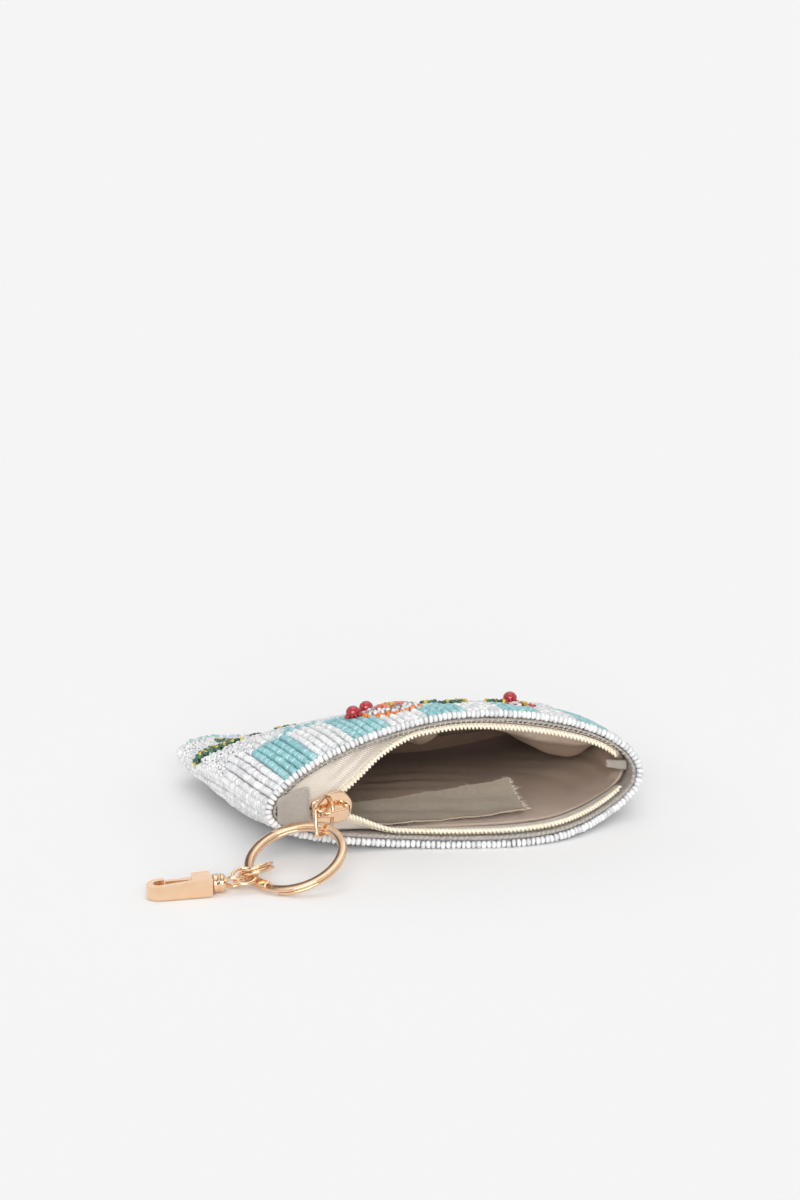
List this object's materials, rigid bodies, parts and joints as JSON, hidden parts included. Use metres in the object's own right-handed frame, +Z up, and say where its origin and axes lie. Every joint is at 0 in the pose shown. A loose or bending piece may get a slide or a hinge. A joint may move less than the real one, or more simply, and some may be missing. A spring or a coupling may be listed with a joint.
{
  "type": "coin pouch",
  "caption": "Small beaded zip coin pouch lying on its back panel, mouth open, with a split ring and a swivel clasp on the zip pull.",
  "frame": {"origin": "on the flat underside, in the middle of the patch that the pouch rests on", "axes": "+X along the mouth from the zip slider to the far end, +Y from the mouth to the closed back edge, +Z up off the surface"},
  "size_m": [0.1659, 0.1186, 0.0386],
  "materials": {
    "beads": "seed beads, glossy",
    "lining": "matte cloth",
    "linen": "plain weave",
    "tape": "herringbone weave",
    "label": "fine woven",
    "coil": "satin",
    "rose_gold": "polished",
    "berry": "glossy"
  },
  "bodies": {
    "pouch": {"beaded_shell": "beads", "edge_bead_rope": "beads", "lining_bag": "lining", "linen_edge": "linen", "zip_tape_top": "tape", "zip_tape_bottom": "tape", "zip_coil_top": "coil", "zip_coil_bottom": "coil", "zip_end_tab_left": "linen", "zip_end_tab_right": "linen", "woven_label": "label", "zip_slider": "rose_gold", "kite_pull": "rose_gold", "split_ring": "rose_gold", "double_jump_ring": "rose_gold", "small_link": "rose_gold", "swivel_eye": "rose_gold", "berry_left": "berry", "berry_middle": "berry", "berry_right": "berry"},
    "clasp": {"clasp_hook": "rose_gold"},
    "gate": {"clasp_gate": "rose_gold"}
  },
  "joints": [
    {"name": "clasp_swivel", "type": "hinge", "parent": "pouch", "child": "clasp", "pos_m": [-0.07637, -0.04771, 0.0029], "axis": [-0.9925, 0.1219, 0], "continuous": true},
    {"name": "clasp_gate_hinge", "type": "hinge", "parent": "clasp", "child": "gate", "pos_m": [-0.08705, -0.04358, 0.0029], "axis": [0, 0, 1], "range_deg": [0, 18], "stiffness_Nm_per_rad": 0.0005, "springref_deg": -17.19}
  ]
}
